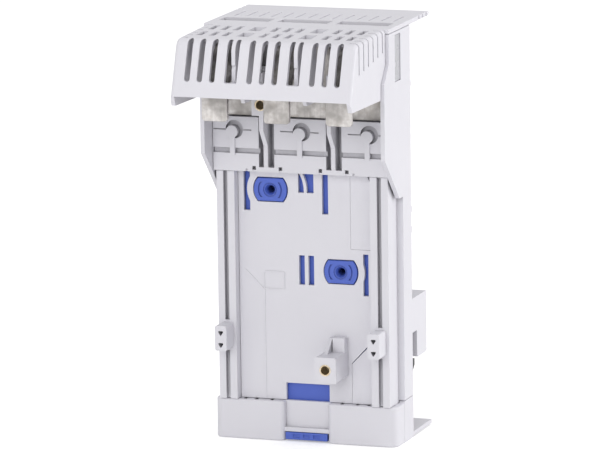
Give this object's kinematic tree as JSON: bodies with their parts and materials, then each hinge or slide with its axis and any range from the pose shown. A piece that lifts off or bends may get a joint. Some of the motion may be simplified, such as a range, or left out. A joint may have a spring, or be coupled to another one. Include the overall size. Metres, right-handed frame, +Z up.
{
  "type": "busbar adapter base",
  "caption": "Upright light grey busbar adapter base with louvred terminal hood, tinned tabs, blue locking slide and rear busbar hooks; it carries a switch and hangs on busbars.",
  "frame": {"origin": "on the floor below the middle of the whole object's box, front to back and side to side", "axes": "+Z up along the body, +X to the right seen from the front, +Y from the front to the busbars behind"},
  "size_m": [0.09, 0.112, 0.198],
  "materials": {
    "grey_plastic": "satin moulded polyamide, fine spark texture",
    "blue_plastic": "satin moulded blue",
    "black_plastic": "satin black, glass filled",
    "label_plastic": "printed film, blank",
    "tinned_copper": "matte tin plating, mottled",
    "spring_steel": "bright drawn spring steel",
    "zinc_steel": "zinc plated sheet",
    "brass": "turned and knurled"
  },
  "bodies": {
    "base": {"base_housing": "grey_plastic", "front_panel": "grey_plastic", "terminal_block": "grey_plastic", "bottom_cover": "grey_plastic", "bottom_guard": "grey_plastic", "top_guard": "grey_plastic", "rear_cover": "grey_plastic", "threaded_insert_upper": "brass", "threaded_insert_lower": "brass", "fixing_socket_upper": "blue_plastic", "fixing_socket_lower": "blue_plastic", "conductor_l1": "tinned_copper", "conductor_l2": "tinned_copper", "conductor_l3": "tinned_copper", "contact_jaw_l1": "tinned_copper", "contact_jaw_l2": "tinned_copper", "contact_jaw_l3": "tinned_copper", "jaw_spring_l1": "spring_steel", "jaw_spring_l2": "spring_steel", "jaw_spring_l3": "spring_steel", "return_spring_left": "spring_steel", "return_spring_right": "spring_steel", "side_labels": "label_plastic", "cover_screws": "spring_steel"},
    "hood": {"terminal_hood": "grey_plastic"},
    "slide": {"locking_slide": "blue_plastic", "locking_yoke": "zinc_steel", "yoke_rivets": "spring_steel", "locking_foot_left": "black_plastic", "locking_foot_right": "black_plastic"}
  },
  "joints": [
    {"name": "hood_pull", "type": "slide", "parent": "base", "child": "hood", "axis": [0, -1, 0], "range_m": [0, 0.03]},
    {"name": "slide_release", "type": "slide", "parent": "base", "child": "slide", "axis": [0, 0, -1], "range_m": [0, 0.012], "stiffness_N_per_m": 250, "springref_m": -0.012, "deforming": ["return_spring_left", "return_spring_right"]}
  ]
}
